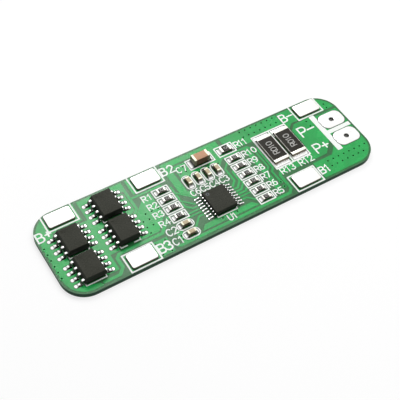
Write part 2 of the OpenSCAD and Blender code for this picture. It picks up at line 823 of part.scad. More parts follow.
laminate();
top_copper();
bottom_copper();
via_barrels();
top_mask();
bottom_mask();
silkscreen();
fet_pads();
controller_pads();
small_pads();
shunt_pads();
tab_pads();
wire_pad(1);  // wire_pad_minus
wire_pad(-1);  // wire_pad_plus
for (i = [0:4]) cell_tab(tab_places[i]);
for (i = [1:4]) fet_body(i);
for (i = [1:4]) fet_leads(i);
package_body(chip, chip_at, 0);  // controller
package_leads(chip, chip_at);  // controller_leads
for (i = [1:13]) resistor(i);
for (i = [1:7]) capacitor(i);
resistor_ends();
resistor_coats();
capacitor_ends();
shunt_ends();
shunt_coats();
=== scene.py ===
"""Looks of a battery management board: lacquer, print, solder, packages and chip parts.

Lengths inside the shape functions are millimetres; make_piece turns them into metres.
"""

import math
from collections import namedtuple
from functools import partial

import bpy
import numpy as np
from bpy.props import FloatProperty, FloatVectorProperty, IntProperty, PointerProperty
from bpy.types import NodeSocket, Operator, Panel, PropertyGroup, Scene
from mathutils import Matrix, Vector


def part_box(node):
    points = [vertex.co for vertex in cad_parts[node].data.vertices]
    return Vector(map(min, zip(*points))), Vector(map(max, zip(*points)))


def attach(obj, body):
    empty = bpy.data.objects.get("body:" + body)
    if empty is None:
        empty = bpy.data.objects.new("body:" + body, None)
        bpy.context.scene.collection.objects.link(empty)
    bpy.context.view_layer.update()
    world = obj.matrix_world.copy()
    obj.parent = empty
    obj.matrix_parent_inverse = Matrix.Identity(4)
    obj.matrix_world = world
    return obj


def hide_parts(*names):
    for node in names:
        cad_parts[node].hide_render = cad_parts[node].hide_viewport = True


bl_info = {
    "name": "Battery Management Board",
    "version": (1, 0, 0),
    "blender": (4, 5, 0),
    "location": "3D View > Sidebar > Board",
    "description": "Dresses a battery management board in lacquer, print, solder and packages",
    "category": "Object",
}

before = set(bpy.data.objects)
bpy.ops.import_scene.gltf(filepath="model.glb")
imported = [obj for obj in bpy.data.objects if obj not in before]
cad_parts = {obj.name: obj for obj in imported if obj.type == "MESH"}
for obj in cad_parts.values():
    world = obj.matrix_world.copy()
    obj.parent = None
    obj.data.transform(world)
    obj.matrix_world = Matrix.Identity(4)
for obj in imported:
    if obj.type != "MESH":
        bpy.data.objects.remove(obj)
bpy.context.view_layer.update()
MM = 0.001


def box_mm(name):
    """Middle of a node in X and Y, its half sizes, its bottom and its top, in millimetres."""
    low, high = (np.array(corner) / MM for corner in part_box(name))
    return (low + high) / 2 * [1, 1, 0], (high - low) / 2, low[2], high[2]


PAD_LOW, PAD_TOP = box_mm("tab_pads")[2:]
BARE_TOP, INK_TOP = box_mm("silkscreen")[2:]
MASK_TOP = box_mm("top_mask")[3]

# Material of each node that is carried over
BARE_BOARD = {
    "laminate": "cut_laminate", "top_mask": "lacquer", "bottom_mask": "lacquer", "silkscreen": "print",
    "top_copper": "tinned_copper", "bottom_copper": "tinned_copper", "via_barrels": "via_lining",
}
TABS = ("tab_b_plus", "tab_b1", "tab_b2", "tab_b3", "tab_b_minus")
# Leads' node of each package
LEADS = {**{f"fet_{i}": f"fet_leads_{i}" for i in range(1, 5)}, "controller": "controller_leads"}
LEADS_TO_A_SIDE = {"fet": 4, "controller": 8}
# Lead width in mm at which solder spreads in full; it spreads less on a narrower lead
FULL_SPREAD_W = 0.42

# Like chip parts, in mm: nodes, length of a plated end, length and width of a pad, its reach past
# the end, share of the height that solder climbs, and distance over which it falls away
Chips = namedtuple("Chips", "nodes end pad_l pad_w reach rise spread")
SMALL_RESISTORS = Chips([f"resistor_{i}" for i in range(1, 11)], 0.32, 1.0, 1.0, 0.55, 0.7, 0.2)
SMALL_CAPACITORS = Chips([f"capacitor_{i}" for i in range(1, 7)], 0.35, 1.0, 1.0, 0.55, 0.45, 0.16)
LARGE_RESISTOR = Chips(["resistor_11"], 0.4, 1.1, 1.4, 0.6, 0.7, 0.22)
LARGE_CAPACITOR = Chips(["capacitor_7"], 0.5, 1.35, 1.75, 0.72, 0.4, 0.22)
SHUNTS = Chips(["resistor_12", "resistor_13"], 0.6, 1.6, 3.2, 0.75, 0.1, 0.15)

# Lamps: name and setting of the power, place and side in metres, and whether it is only mirrored
LAMPS = (
    ("softbox", (0.17, 0.03, 0.46), 0.3, False),
    ("strip", (0.045, 0.32, 0.38), 0.25, False),
    ("side_light", (0.32, 0.02, 0.36), 0.3, False),
    ("gloss_lamp", (0.125, 0.3, 0.38), 0.12, True),
)


# ---------- settings ----------


def setting(name, description, default, **limits):
    """A number, or a row of numbers, that a user may change."""
    if isinstance(default, tuple):
        return FloatVectorProperty(name=name, description=description, default=default,
                                   size=len(default), **limits)
    return FloatProperty(name=name, description=description, default=default, **limits)


length = partial(setting, min=0.0, max=0.02, unit="LENGTH", precision=6)
colour = partial(setting, min=0.0, max=1.0, subtype="COLOR")
share = partial(setting, min=0.0, max=1.0, subtype="FACTOR")
power = partial(setting, min=0.0, unit="POWER")


class BoardColours(PropertyGroup):
    """Colours of the board and of what is soldered to it"""

    over_copper: colour("Lacquer on copper", "Lacquer over the copper areas", (0.005, 0.35, 0.066))
    over_bare: colour("Lacquer on laminate", "Lacquer over bare laminate", (0.014, 0.122, 0.03))
    laminate: colour("Laminate edge", "Cut edge of the glass-fibre laminate", (0.032, 0.09, 0.052))
    ink: colour("Print", "White printing ink", (0.92, 0.95, 0.92))
    tin: colour("Solder", "Tin on pads and leads", (0.98, 0.98, 0.965))
    nickel: colour("Nickel", "Rolled nickel tabs", (0.985, 0.975, 0.95))
    moulding: colour("Moulding", "Moulded package bodies", (0.026, 0.027, 0.02))
    ceramic: colour("Large capacitor", "Ceramic of the large capacitor", (0.5, 0.27, 0.155))
    pale_ceramic: colour("Small capacitors", "Ceramic of the small capacitors", (0.52, 0.43, 0.28))
    cap_ends: colour("Capacitor ends", "Plated ends of the capacitors", (0.84, 0.82, 0.64))
    plate: colour("Resistor ceramic", "White ceramic of the resistors", (0.82, 0.8, 0.74))
    glaze: colour("Resistor coat", "Dark coat of the resistors", (0.012, 0.01, 0.006))
    value_ink: colour("Values", "Printed values of resistors and shunts", (0.46, 0.46, 0.44))


class PackageSizes(PropertyGroup):
    """Sizes of the moulded packages, their leads and their pads"""

    edge_r: length("Body edge radius", "Rounding of the bodies' edges", 0.00007)
    draft: length("Draft", "How far the sides lean in", 0.0001)
    bevel: length("Transistor bevel", "Bevel beside lead 1 of a transistor", 0.00035)
    mark: length("Mark", "Radius and depth of the round mark at lead 1", (0.00025, 0.00005))
    mark_place: length("Place of the mark", "Distances from the leads' side and the body's end",
                       (0.0008, 0.00085))
    fet_lead: length("Transistor leads", "Width and thickness of a lead", (0.00042, 0.00022))
    fet_pad: length("Transistor pads", "Length, width and reach past the toe",
                    (0.0015, 0.00068, 0.0006))
    controller_lead: length("Controller leads", "Width and thickness of a lead", (0.00023, 0.00014))
    controller_pad: length("Controller pads", "Length, width and reach past the toe",
                           (0.001, 0.00029, 0.00045))


class SolderSizes(PropertyGroup):
    """Sizes of the tabs, the wire pads and the solder that climbs"""

    spread: length("Solder spread", "Distance over which climbing solder falls away", 0.0001)
    tab_corner: length("Tab corner", "Rounding of the tabs' corners", 0.0004)
    tab_edge: length("Tab edge", "Rounding of the tabs' upper edges", 0.00013)
    wire_hole: length("Wire hole", "Radius of the hole and thickness of its plating",
                      (0.0004, 0.00017))
    dome: length("Wire pad dome", "Bulge of the tin on a wire pad", 0.0001)


class LetterSizes(PropertyGroup):
    """Sizes of the printed letters"""

    width: share("Letter width", "Width of a letter as a share of its height", 0.64)
    steps: IntProperty(name="Curve steps", description="Points on a half turn of a letter",
                       default=9, min=4, max=24)


class StageSettings(PropertyGroup):
    """Floor, lamps and camera"""

    floor: colour("Floor", "Pale floor", (0.97, 0.97, 0.97))
    world: share("World", "Strength of the even light from all round", 0.08)
    softbox: power("Softbox", "Power of the softbox above the board", 1.15)
    strip: power("Strip", "Power of the lamp behind the board", 1.2)
    side_light: power("Side light", "Power of the lamp at the right", 0.5)
    gloss_lamp: power("Gloss lamp", "Power of the small lamp mirrored in the lacquer", 0.4)
    place: setting("Camera place", "Where the camera stands", (-0.054242, -0.071275, 0.114271),
                   subtype="TRANSLATION", unit="LENGTH", precision=6)
    turn: setting("Camera turn", "How the camera is turned",
                  tuple(map(math.radians, (37.2217, -3.3933, -32.2074))), subtype="EULER",
                  unit="ROTATION", precision=6)
    lens: setting("Lens", "Focal length of the camera", 75.12, min=10.0, unit="CAMERA")


# ---------- meshes ----------


def new_object(name, data):
    """An object in the scene."""
    made = bpy.data.objects.new(name, data)
    bpy.context.scene.collection.objects.link(made)
    return made


def make_piece(name, parts, finish, slot, *stands_for):
    """One object from (vertices in mm, faces) parts, riding on the board."""
    starts = np.cumsum([0] + [len(v) for v, _ in parts])
    verts = np.concatenate([v for v, _ in parts]) * MM
    faces = [[i + s for i in f] for (_, fs), s in zip(parts, starts.tolist()) for f in fs]
    mesh = bpy.data.meshes.new(name)
    mesh.from_pydata(verts.tolist(), [], faces)
    mesh.polygons.foreach_set("use_smooth", np.ones(len(mesh.polygons), bool))
    mesh.set_sharp_from_angle(angle=math.radians(38))
    mesh.update()
    mesh.materials.append(bpy.data.materials[finish])
    piece = new_object(name, mesh)
    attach(piece, "root")
    if stands_for:
        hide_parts(*stands_for)


def loft(loops, closed=False):
    """Skin over a stack of loops, array (m, n, 3); quads between neighbours, flat caps at the ends.

    Loops run counter-clockwise seen from the end that the stack runs to. A closed stack
    joins its last loop to its first.
    """
    m, n = loops.shape[:2]
    i = np.arange(m if closed else m - 1)[:, None]
    j = np.arange(n)
    nxt, up = (j + 1) % n, (i + 1) % m
    quads = np.stack([i * n + j, i * n + nxt, up * n + nxt, up * n + j], -1).reshape(-1, 4).tolist()
    caps = [] if closed else [list(range(n))[::-1], list(range((m - 1) * n, m * n))]
    return loops.reshape(-1, 3), quads + caps


def level_loop(outline, z):
    """A flat outline lifted to a height."""
    return np.c_[outline, np.full(len(outline), z)]


def rounded_outline(half_x, half_y, r, steps=5, sides=1):
    """Rounded rectangle, counter-clockwise: a circle of radius r cut in four quarters,
    each moved out to its corner, with extra points along the straight sides."""
    r = min(r, 0.97 * half_x, 0.97 * half_y)
    t = np.linspace(0, math.pi / 2, steps)
    turn = np.arange(4)[:, None] * math.pi / 2 + t
    centre = np.array([[1, 1], [-1, 1], [-1, -1], [1, -1]]) * [half_x - r, half_y - r]
    corners = centre[:, None] + r * np.stack([np.cos(turn), np.sin(turn)], -1)
    s = np.linspace(0, 1, sides + 1)[1:-1, None]
    ahead = np.roll(corners, -1, 0)
    return np.concatenate([[*c, *(c[-1] + s * (a[0] - c[-1]))] for c, a in zip(corners, ahead)])


def rings(half, r, levels, sides=1):
    """Stack of rounded rectangles; each level is (inset from the full size, height)."""
    return np.stack([
        level_loop(rounded_outline(half[0] - d, half[1] - d, max(r - d, 0.02), sides=sides), z)
        for d, z in levels
    ])


def rounded_levels(z0, z1, low_r, high_r):
    """Levels of an upright block whose lower and upper edges are quarter circles, four each."""
    t = np.linspace(0, math.pi / 2, 4)
    low = [(low_r * (1 - math.sin(a)), z0 + low_r * (1 - math.cos(a))) for a in t]
    high = [(high_r * (1 - math.cos(a)), z1 - high_r * (1 - math.sin(a))) for a in t]
    return low + high


def block(half, z0, z1, corner_r, edge_r, low_r=0.02):
    """Upright block with round corners and round upper and lower edges."""
    return loft(rings(half, corner_r, rounded_levels(z0, z1, low_r, edge_r)))


def placed(part, at, turn=0.0):
    """A part turned about Z by an angle in degrees, then moved to a place."""
    verts, faces = part
    c, s = math.cos(math.radians(turn)), math.sin(math.radians(turn))
    return verts @ np.array([[c, s, 0], [-s, c, 0], [0, 0, 1]]) + at, faces


def both_ways(part, offset, at, turn=0.0):
    """A part moved out from the middle, and a second one turned half round."""
    moved = placed(part, offset)
    return [placed(moved, at, turn + side) for side in (0, 180)]


# ---------- solder ----------


def mound(half_x, half_y, r, height, nu=21, nv=11):
    """Closed drop of solder on a pad: a height field over a rounded rectangle.

    A grid of u and v, both the sine of evenly spaced angles so that points gather at the
    rim, is mapped to x = half_x u and y = w(x) v, where w is the outline's half-width.
    The rim falls to the pad's foot as the square root of 1 - u^12 and of 1 - v^8.
    """
    u = np.sin(np.linspace(-1, 1, nu) * math.pi / 2)[:, None]
    v = np.sin(np.linspace(-1, 1, nv) * math.pi / 2)
    x = half_x * 0.995 * u + 0 * v
    over = np.clip(np.abs(x) - (half_x - r), 0, None)
    y = (half_y - r + np.sqrt(np.clip(r * r - over * over, 0, None))) * v
    rim = np.sqrt(1 - u**12) * np.sqrt(1 - v**8)
    z = PAD_LOW + rim * (height(x, y) - PAD_LOW)
    k = np.arange(nu * nv).reshape(nu, nv)
    quads = np.stack([k[:-1, :-1], k[1:, :-1], k[1:, 1:], k[:-1, 1:]], -1).reshape(-1, 4).tolist()
    edge = np.concatenate([k[:, 0], k[-1, 1:], k[-2::-1, -1], k[0, -2:0:-1]])
    return np.stack([x, y, z], -1).reshape(-1, 3), quads + [edge[::-1].tolist()]


def climbing(x0, x1, half_y, rise, spread):
    """Height of solder round a foot: the pad's top, plus a rise that falls away as the
    exponential of minus the distance to the foot's rectangle over the spread."""

    def height(x, y):
        gap = np.hypot(np.clip(np.maximum(x0 - x, x - x1), 0, None),
                       np.clip(np.abs(y) - half_y, 0, None))
        return PAD_TOP + rise * np.exp(-gap / spread)

    return height


def wire_pad(half, bottom, under, top, sizes):
    """A ring of tin on each face, joined by the plated wall of the hole.

    Every loop has its points on the same spokes, from the pad's outline straight to the
    hole. The top is a quarter circle at the rim and at the hole, and bulges between them as
    the product of the two distances, each levelled off by an exponential. The stack goes
    over the top, down the hole, out along the bottom pad, and back up the wall's outside.
    """
    hole_r, wall = (size / MM for size in sizes.wire_hole)
    corner_r, level_off, hole_edge = 1.3, 0.15, 0.14
    outline = rounded_outline(half[0], half[1], corner_r, 9, 4)
    angle = np.arctan2(outline[:, 1], outline[:, 0])
    spokes = np.c_[np.cos(angle), np.sin(angle)]
    hole = hole_r * spokes
    inner = (hole_r + wall) * spokes
    way = np.r_[0, 0.006, 0.02, 0.045, np.linspace(0.08, 0.9, 11), 0.935, 0.965, 0.99, 1][:, None]
    xy = outline + (hole - outline) * way[..., None]
    reach = np.linalg.norm(hole - outline, axis=1)
    to_rim, to_hole = reach * way, reach * (1 - way)
    z = top + sizes.dome / MM * (1 - np.exp(-to_rim / level_off)) * (1 - np.exp(-to_hole / level_off))
    for gap, fall in ((to_rim, top - PAD_LOW), (to_hole, hole_edge)):
        z = z - fall * (1 - np.sqrt(1 - np.clip(1 - gap / fall, 0, 1) ** 2))
    rest = ((hole, bottom), (outline, bottom), (outline, under), (inner, under), (inner, PAD_LOW),
            (outline, PAD_LOW))
    over = np.concatenate([xy, z[..., None]], -1)
    return loft(np.concatenate([over, [level_loop(line, z) for line, z in rest]]), closed=True)


# ---------- leaded packages ----------


Package = namedtuple("Package", "at half low high toe rows lead_w lead_t pad pad_w reach")


def package(body, sizes):
    """A package's middle, half sizes, bottom, top and toes, the places of its leads, spread
    evenly between the outer two of a side, and its sizes of leads and pads."""
    kind = body.split("_")[0]
    own = [size / MM for part in ("lead", "pad") for size in getattr(sizes, f"{kind}_{part}")]
    half = box_mm(LEADS[body])[1]
    rows = np.linspace(-1, 1, LEADS_TO_A_SIDE[kind]) * (2 * half[1] - own[0]) / 2
    return Package(*box_mm(body), half[0], rows, *own)


def lead_path(body_half, toe, mid, t):
    """Side view of a gull-wing lead's centre line: straight out, an arc down through the leg
    angle, a straight leg, the same arc back, and a flat foot."""
    leg_angle = math.radians(80.0)
    straight, inside, foot = 0.15, 0.25, 0.04
    r = 1.1 * t
    knee = np.array([body_half + straight, mid - r])
    down, out = math.sin(leg_angle), math.cos(leg_angle)
    leg = (mid - t / 2 - 2 * r * (1 - out)) / down
    heel = np.array([knee[0] + 2 * r * down + leg * out, t / 2 + r])
    s = np.linspace(0, 1, 7)
    bend = math.pi / 2 - s * leg_angle
    back = 1.5 * math.pi - (1 - s) * leg_angle
    return np.concatenate([
        [[body_half - inside, mid]],
        knee + r * np.c_[np.cos(bend), np.sin(bend)],
        heel + r * np.c_[np.cos(back), np.sin(back)],
        [[toe - foot, t / 2], [toe, t / 2]],
    ])


def gull_wing(body_half, toe, mid, w, t):
    """A lead: a rounded rectangle of its width and thickness carried along the lead's path,
    and drawn in a little at the toe."""
    path = lead_path(body_half, toe, mid, t)
    along = np.gradient(path, axis=0)
    along /= np.linalg.norm(along, axis=1)[:, None]
    normal = np.c_[-along[:, 1], along[:, 0]]
    section = rounded_outline(t / 2, w / 2, 0.3 * t, 3)
    size = np.ones(len(path))
    size[-1] = 0.75
    a = section[:, 0] * size[:, None]
    b = section[:, 1] * size[:, None]
    return loft(np.stack([path[:, :1] + a * normal[:, :1], -b, path[:, 1:] + a * normal[:, 1:]], -1))


def package_pads(scene, body):
    """Drops of solder under the leads of one package."""
    p = package(body, scene.board_packages)
    middle = p.toe + p.reach - p.pad / 2
    foot, rise, corner_r = 0.75 * p.pad, 0.9 * p.lead_t, 0.45 * p.pad_w
    spread = scene.board_solder.spread / MM * p.lead_w / FULL_SPREAD_W
    height = climbing(p.toe - foot - middle, p.toe - middle, p.lead_w / 2, rise, spread)
    drop = mound(p.pad / 2, p.pad_w / 2, corner_r, height)
    return [spot for y in p.rows for spot in both_ways(drop, (middle, y, 0), p.at)]


def mark_centre(half, sizes):
    """Middle of the round mark at lead 1, from the body's middle."""
    x, y = sizes.mark_place
    return np.array([x / MM - half[0], half[1] - y / MM])


def moulded_body(half, low, high, sizes, bevel):
    """A package body: rounded rectangles stacked up, widest at the parting line and drafted
    both ways, with a bevel along one top edge, and a shallow round mark sunk near lead 1."""
    corner_r, parting = 0.12, 0.02
    draft, edge_r = sizes.draft / MM, sizes.edge_r / MM
    edges = [(d + draft, z) for d, z in rounded_levels(low, high, edge_r, edge_r)]
    mid = (low + high) / 2
    levels = edges[:4] + [(0.0, mid - parting), (0.0, mid + parting)] + edges[4:]
    loops = rings(half, corner_r, levels, sides=9)
    if bevel:
        cut = -half[0] + np.clip(loops[..., 2] - (high - bevel), 0, None) + draft
        loops[..., 0] = np.maximum(loops[..., 0], cut)
    r, depth = (size / MM for size in sizes.mark)
    centre = mark_centre(half, sizes)
    spoke = loops[-1, :, :2] - centre
    spoke /= np.linalg.norm(spoke, axis=1)[:, None]
    mark = [level_loop(centre + q * r * spoke, high - fall * depth)
            for q, fall in ((1.12, 0), (1.0, 0.3), (0.9, 1))]
    return loft(np.concatenate([loops, mark]))


def flat_ring(r, tube, steps=28, sides=8):
    """A ring: an ellipse, tube wide and a third as high, carried round a circle."""
    a = np.linspace(0, 2 * math.pi, steps, endpoint=False)[:, None]
    b = np.linspace(0, 2 * math.pi, sides, endpoint=False)
    reach = r + tube / 2 * np.cos(b)
    height = tube / 6 * np.sin(b) + 0 * a
    return loft(np.stack([reach * np.cos(a), -reach * np.sin(a), height], -1), closed=True)


# ---------- chip parts ----------


def chip_box(name):
    """Middle, outer half length, half width, top and turn of a chip part.

    The node is the ceramic alone: its plating adds the gap between it and the pad at both
    ends, and above and below; on a capacitor it adds it at the sides too.
    """
    at, half, low, high = box_mm(name)
    skin = low - PAD_TOP
    wide = min(half[:2]) + (skin if name.startswith("capacitor") else 0)
    return at, max(half[:2]) + skin, wide, high + skin, 90 if half[1] > half[0] else 0


def chip_pads(*kinds):
    """Drops of solder at both ends of chip parts, climbing most of each end's width."""
    wetted, corner_r = 0.92, 0.2
    parts = []
    for kind in kinds:
        for name in kind.nodes:
            at, long, wide, high, turn = chip_box(name)
            middle = long + kind.reach - kind.pad_l / 2
            rise = kind.rise * (high - PAD_TOP)
            height = climbing(-kind.pad_l, long - middle, wetted * wide, rise, kind.spread)
            drop = mound(kind.pad_l / 2, kind.pad_w / 2, corner_r, height)
            parts += both_ways(drop, (middle, 0, 0), at, turn)
    return parts


def end_caps(name, end, edge_r):
    """Plated ends of a chip part: a block with round edges at each end."""
    at, long, wide, high, turn = chip_box(name)
    cap = block((end / 2, wide), PAD_TOP, high, edge_r, edge_r, edge_r)
    return [placed(placed(cap, (s * (long - end / 2), 0, 0)), at, turn) for s in (-1, 1)]


def dark_coat(name, end):
    """The coat between the plated ends: rounded rectangles, drawn in towards the flat top."""
    at, long, wide, high, turn = chip_box(name)
    overlap, narrowing, corner_r = 0.03, 0.95, 0.06
    levels = [(0, high - 0.06), (0, high - 0.02), (0.02, high - 0.004), (0.12, high)]
    coat = loft(rings((long - end + overlap, narrowing * wide), corner_r, levels))
    return placed(coat, at, turn)


# ---------- letters ----------


def glyphs(n):
    """Strokes of each letter as points in a box 1 wide and 1 high, with n points to a half
    turn. A stroke that ends where it starts is closed."""

    def arc(cx, cy, rx, ry, start=80, end=-80, steps=n):
        """Points on an ellipse, between two angles in degrees."""
        a = np.radians(np.linspace(start, end, steps))
        return np.c_[cx + rx * np.cos(a), cy + ry * np.sin(a)].tolist()

    def oval(*shape):
        """Points all round an ellipse."""
        return arc(*shape, 0, 360, 2 * n + 1)

    spine = [[0, 0], [0, 1]]
    bowl = [[0, 1], [0.55, 1], *arc(0.55, 0.73, 0.45, 0.27), [0.55, 0.46], [0, 0.46]]
    upper = [[0, 1], [0.55, 1], *arc(0.55, 0.765, 0.36, 0.235), [0.55, 0.53], [0, 0.53]]
    lower = [[0.55, 0.53], *arc(0.58, 0.265, 0.42, 0.265), [0.55, 0], [0, 0]]
    return {
        "B": [spine, upper, lower],
        "P": [spine, bowl],
        "R": [spine, bowl, [[0.45, 0.46], [1, 0]]],
        "C": [arc(0.52, 0.5, 0.52, 0.5, 45, 315, 2 * n)],
        "U": [[[0, 1], [0, 0.35], *arc(0.5, 0.35, 0.5, 0.35, 190, 350), [1, 0.35], [1, 1]]],
        "0": [oval(0.5, 0.5, 0.5, 0.5)],
        "1": [[[0.15, 0.78], [0.5, 1], [0.5, 0]]],
        "2": [[*arc(0.5, 0.72, 0.45, 0.28, 165, -25, n + 2), [0.02, 0], [1, 0]]],
        "3": [arc(0.45, 0.75, 0.43, 0.25, 155, -75, n + 1), arc(0.45, 0.26, 0.5, 0.26, 80, -155, n + 1)],
        "4": [[[0.72, 0], [0.72, 1], [0, 0.3], [1, 0.3]]],
        "5": [[[0.92, 1], [0.15, 1], [0.08, 0.57], *arc(0.45, 0.32, 0.5, 0.32, 115, -150, n + 2)]],
        "6": [oval(0.5, 0.3, 0.46, 0.3), [[0.04, 0.3], [0.1, 0.62], [0.32, 0.9], [0.7, 1]]],
        "7": [[[0, 1], [0.95, 1], [0.35, 0]]],
        "8": [oval(0.5, 0.75, 0.38, 0.25), oval(0.5, 0.26, 0.47, 0.26)],
        "9": [oval(0.5, 0.7, 0.46, 0.3), [[0.96, 0.7], [0.9, 0.38], [0.68, 0.1], [0.3, 0]]],
        "+": [[[0, 0.5], [1, 0.5]], [[0.5, 0.18], [0.5, 0.82]]],
        "-": [[[0, 0.5], [1, 0.5]]],
    }


def unit(vectors):
    """Vectors brought to length 1."""
    return vectors / np.linalg.norm(vectors, axis=-1)[..., None]


def stroke(p, w, low, high):
    """A printed stroke: a low dome of width w carried along the points, with mitred corners.
    At open ends the width falls as a half circle."""
    closed = np.allclose(p[0], p[-1])
    if closed:
        steps = unit(np.diff(np.r_[p[-2:-1], p], axis=0))
        p = p[:-1]
        width = np.ones(len(p))
    else:
        out = np.array([0.5, 0.35, 0.0])[:, None] * w
        p = np.concatenate([p[0] + unit(p[0] - p[1]) * out, p[1:-1],
                            p[-1] + unit(p[-1] - p[-2]) * out[::-1]])
        steps = unit(np.diff(p, axis=0))
        steps = np.r_[steps[:1], steps, steps[-1:]]
        width = np.r_[0.1, 0.71, np.ones(len(p) - 4), 0.71, 0.1]
    mean = unit(steps[:-1] + steps[1:])
    mitre = 1 / np.clip((mean * steps[1:]).sum(1), 0.6, 1)
    side = np.c_[-mean[:, 1], mean[:, 0]] * (w / 2 * width * mitre)[:, None]
    across = np.array([1, 0.8, 0, -0.8, -1, 0])
    lift = np.array([0.45, 0.92, 1, 0.92, 0.45, 0.0])
    xy = p[:, None] + across[:, None] * side[:, None]
    z = np.broadcast_to(low + lift * (high - low), xy.shape[:2])
    return loft(np.concatenate([xy, z[..., None]], -1), closed)


def printed(rows, sizes, on_chip=False, turn=0.0):
    """Letters of rows of text, the node it stands by or on, its lower left corner from that
    node's middle, letter height, advance and stroke width; on the board or on a chip's top."""
    shapes = glyphs(sizes.steps)
    parts = []
    for text, name, dx, dy, height, advance, w in rows:
        low, high = BARE_TOP - 0.005, INK_TOP
        if on_chip:
            top = chip_box(name)[3]
            low, high = top - 0.01, top + 0.012
        corner = box_mm(name)[0] + [dx, dy, 0]
        for k, letter in enumerate(text):
            for points in shapes[letter]:
                run = np.array(points) * [height * sizes.width, height] + [k * advance, 0]
                parts.append(placed(stroke(run, w, low, high), corner, turn))
    return parts


LABELS = [
    ("B", "tab_b_plus", -5.05, -3.0, 1.8, 0, 0.32), ("+", "tab_b_plus", -3.5, -2.72, 1.45, 0, 0.32),
    ("B2", "tab_b2", 3.05, -0.8, 1.6, 1.45, 0.32), ("B3", "tab_b3", 3.05, -0.95, 1.75, 1.3, 0.32),
    ("B1", "tab_b1", 3.22, -0.62, 1.5, 1.12, 0.31), ("B-", "tab_b_minus", -5.7, -0.8, 1.8, 1.45, 0.32),
    ("P-", "wire_pad_minus", -7.2, -1.0, 2.2, 1.7, 0.34),
    ("P", "wire_pad_plus", -7.1, -0.85, 2.02, 0, 0.33),
    ("+", "wire_pad_plus", -5.45, -0.8, 1.88, 0, 0.33),
    ("C2", "capacitor_2", -3.6, -0.75, 1.35, 1.05, 0.24),
    ("C1", "capacitor_1", -3.6, -0.85, 1.35, 1.05, 0.24),
    ("C7", "capacitor_7", -4.75, -0.65, 1.25, 1.1, 0.23),
    ("R11", "resistor_11", 2.1, -0.6, 1.27, 0.85, 0.23),
    ("U1", "controller", -0.5, -4.36, 1.17, 0.88, 0.23),
    ("R13", "resistor_13", -1.45, -5.58, 1.3, 1.02, 0.24),
    ("R12", "resistor_12", -1.25, -5.58, 1.3, 1.02, 0.24),
    *[(f"R{i}", f"resistor_{i}", -3.7, -0.58, 1.17, 1.03, 0.23) for i in range(1, 5)],
    *[(f"R{i}", f"resistor_{i}", 1.87, -0.55, 1.22, 0.98, 0.23) for i in range(5, 11)],
    *[(f"C{i}", f"capacitor_{i}", -0.9, -2.95, 1.2, 0.95, 0.23) for i in range(3, 7)],
]
SHUNT_VALUES = [("R010", name, 0.56, -1.5, 1.12, 0.77, 0.15) for name in SHUNTS.nodes]
# Plain value codes, from resistor 1 on
RESISTOR_CODES = [
    (code, f"resistor_{i}", -0.37, -0.25, 0.5, 0.28, 0.075)
    for i, code in enumerate("102 102 103 103 471 471 102 102 103 105 104".split(), 1)
]


# ---------- shader parts ----------


WHITE = (1, 1, 1, 1)


def feed(tree, target, numbered=None, **named):
    """Sets or links a node's inputs, by number, or by name with _ for a space."""
    for key, value in {**(numbered or {}), **named}.items():
        socket = target.inputs[key.replace("_", " ") if isinstance(key, str) else key]
        if isinstance(value, NodeSocket):
            tree.links.new(value, socket)
        else:
            socket.default_value = value
    return target


def node(tree, kind, inputs=None, **settings):
    """A node with its settings, and its inputs set or linked."""
    made = tree.nodes.new("ShaderNode" + kind)
    for key, value in settings.items():
        setattr(made, key, value)
    return feed(tree, made, inputs)


def new_group(name, inputs, **outputs):
    """An empty node group with named inputs and their defaults, and outputs and their types."""
    tree = bpy.data.node_groups.new(name, "ShaderNodeTree")
    for label, default in inputs.items():
        kind = "NodeSocketColor" if isinstance(default, tuple) else "NodeSocketFloat"
        tree.interface.new_socket(name=label, in_out="INPUT", socket_type=kind).default_value = default
    for label, kind in outputs.items():
        tree.interface.new_socket(name=label, in_out="OUTPUT", socket_type="NodeSocket" + kind)
    return tree, tree.nodes.new("NodeGroupInput").outputs, tree.nodes.new("NodeGroupOutput")


def group_node(tree, group, **inputs):
    """A group placed in a material with its own values."""
    return node(tree, "Group", inputs, node_tree=bpy.data.node_groups[group]).outputs


def calc(tree, operation, *values):
    """Result of a sum on single values, such as MULTIPLY."""
    return node(tree, "Math", dict(enumerate(values)), operation=operation).outputs[0]


def times(tree, vector, by):
    """A vector or colour multiplied part by part by a tuple, or whole by a value."""
    inputs, operation = ({1: by}, "MULTIPLY") if isinstance(by, tuple) else ({"Scale": by}, "SCALE")
    return node(tree, "VectorMath", {0: vector, **inputs}, operation=operation).outputs[0]


def stretched(tree, value, low, high, to_low=0.0, to_high=1.0):
    """A value carried from one range to another, and held at its ends."""
    return node(tree, "MapRange", {"Value": value, 1: low, 2: high, 3: to_low, 4: to_high}).outputs[0]


def mixed(tree, factor, a, b):
    """Colour between a and b."""
    return node(tree, "Mix", {0: factor, 6: a, 7: b}, data_type="RGBA").outputs[2]


def millimetres(tree):
    """Object coordinates in millimetres."""
    return times(tree, node(tree, "TexCoord").outputs["Object"], (1 / MM,) * 3)


NOISE_RANGE = (0.3, 0.7)


def noise(tree, place, scale, detail):
    """Noise at a place, most of it within the noise range."""
    return node(tree, "TexNoise", {"Vector": place, "Scale": scale, "Detail": detail}).outputs[0]


def grain_group():
    """Fine grain: a colour lightened and darkened by noise, with the noise as a height too."""
    tree, given, out = new_group(
        "Fine grain", {"Color": (0.5, 0.5, 0.5, 1), "Grains per mm": 10.0, "Contrast": 0.2},
        Color="Color", Height="Float")
    grains = noise(tree, millimetres(tree), given["Grains per mm"], 3.0)
    swing = calc(tree, "MULTIPLY_ADD", calc(tree, "SUBTRACT", grains, 0.5), given["Contrast"], 1.0)
    feed(tree, out, Color=times(tree, given["Color"], swing), Height=grains)


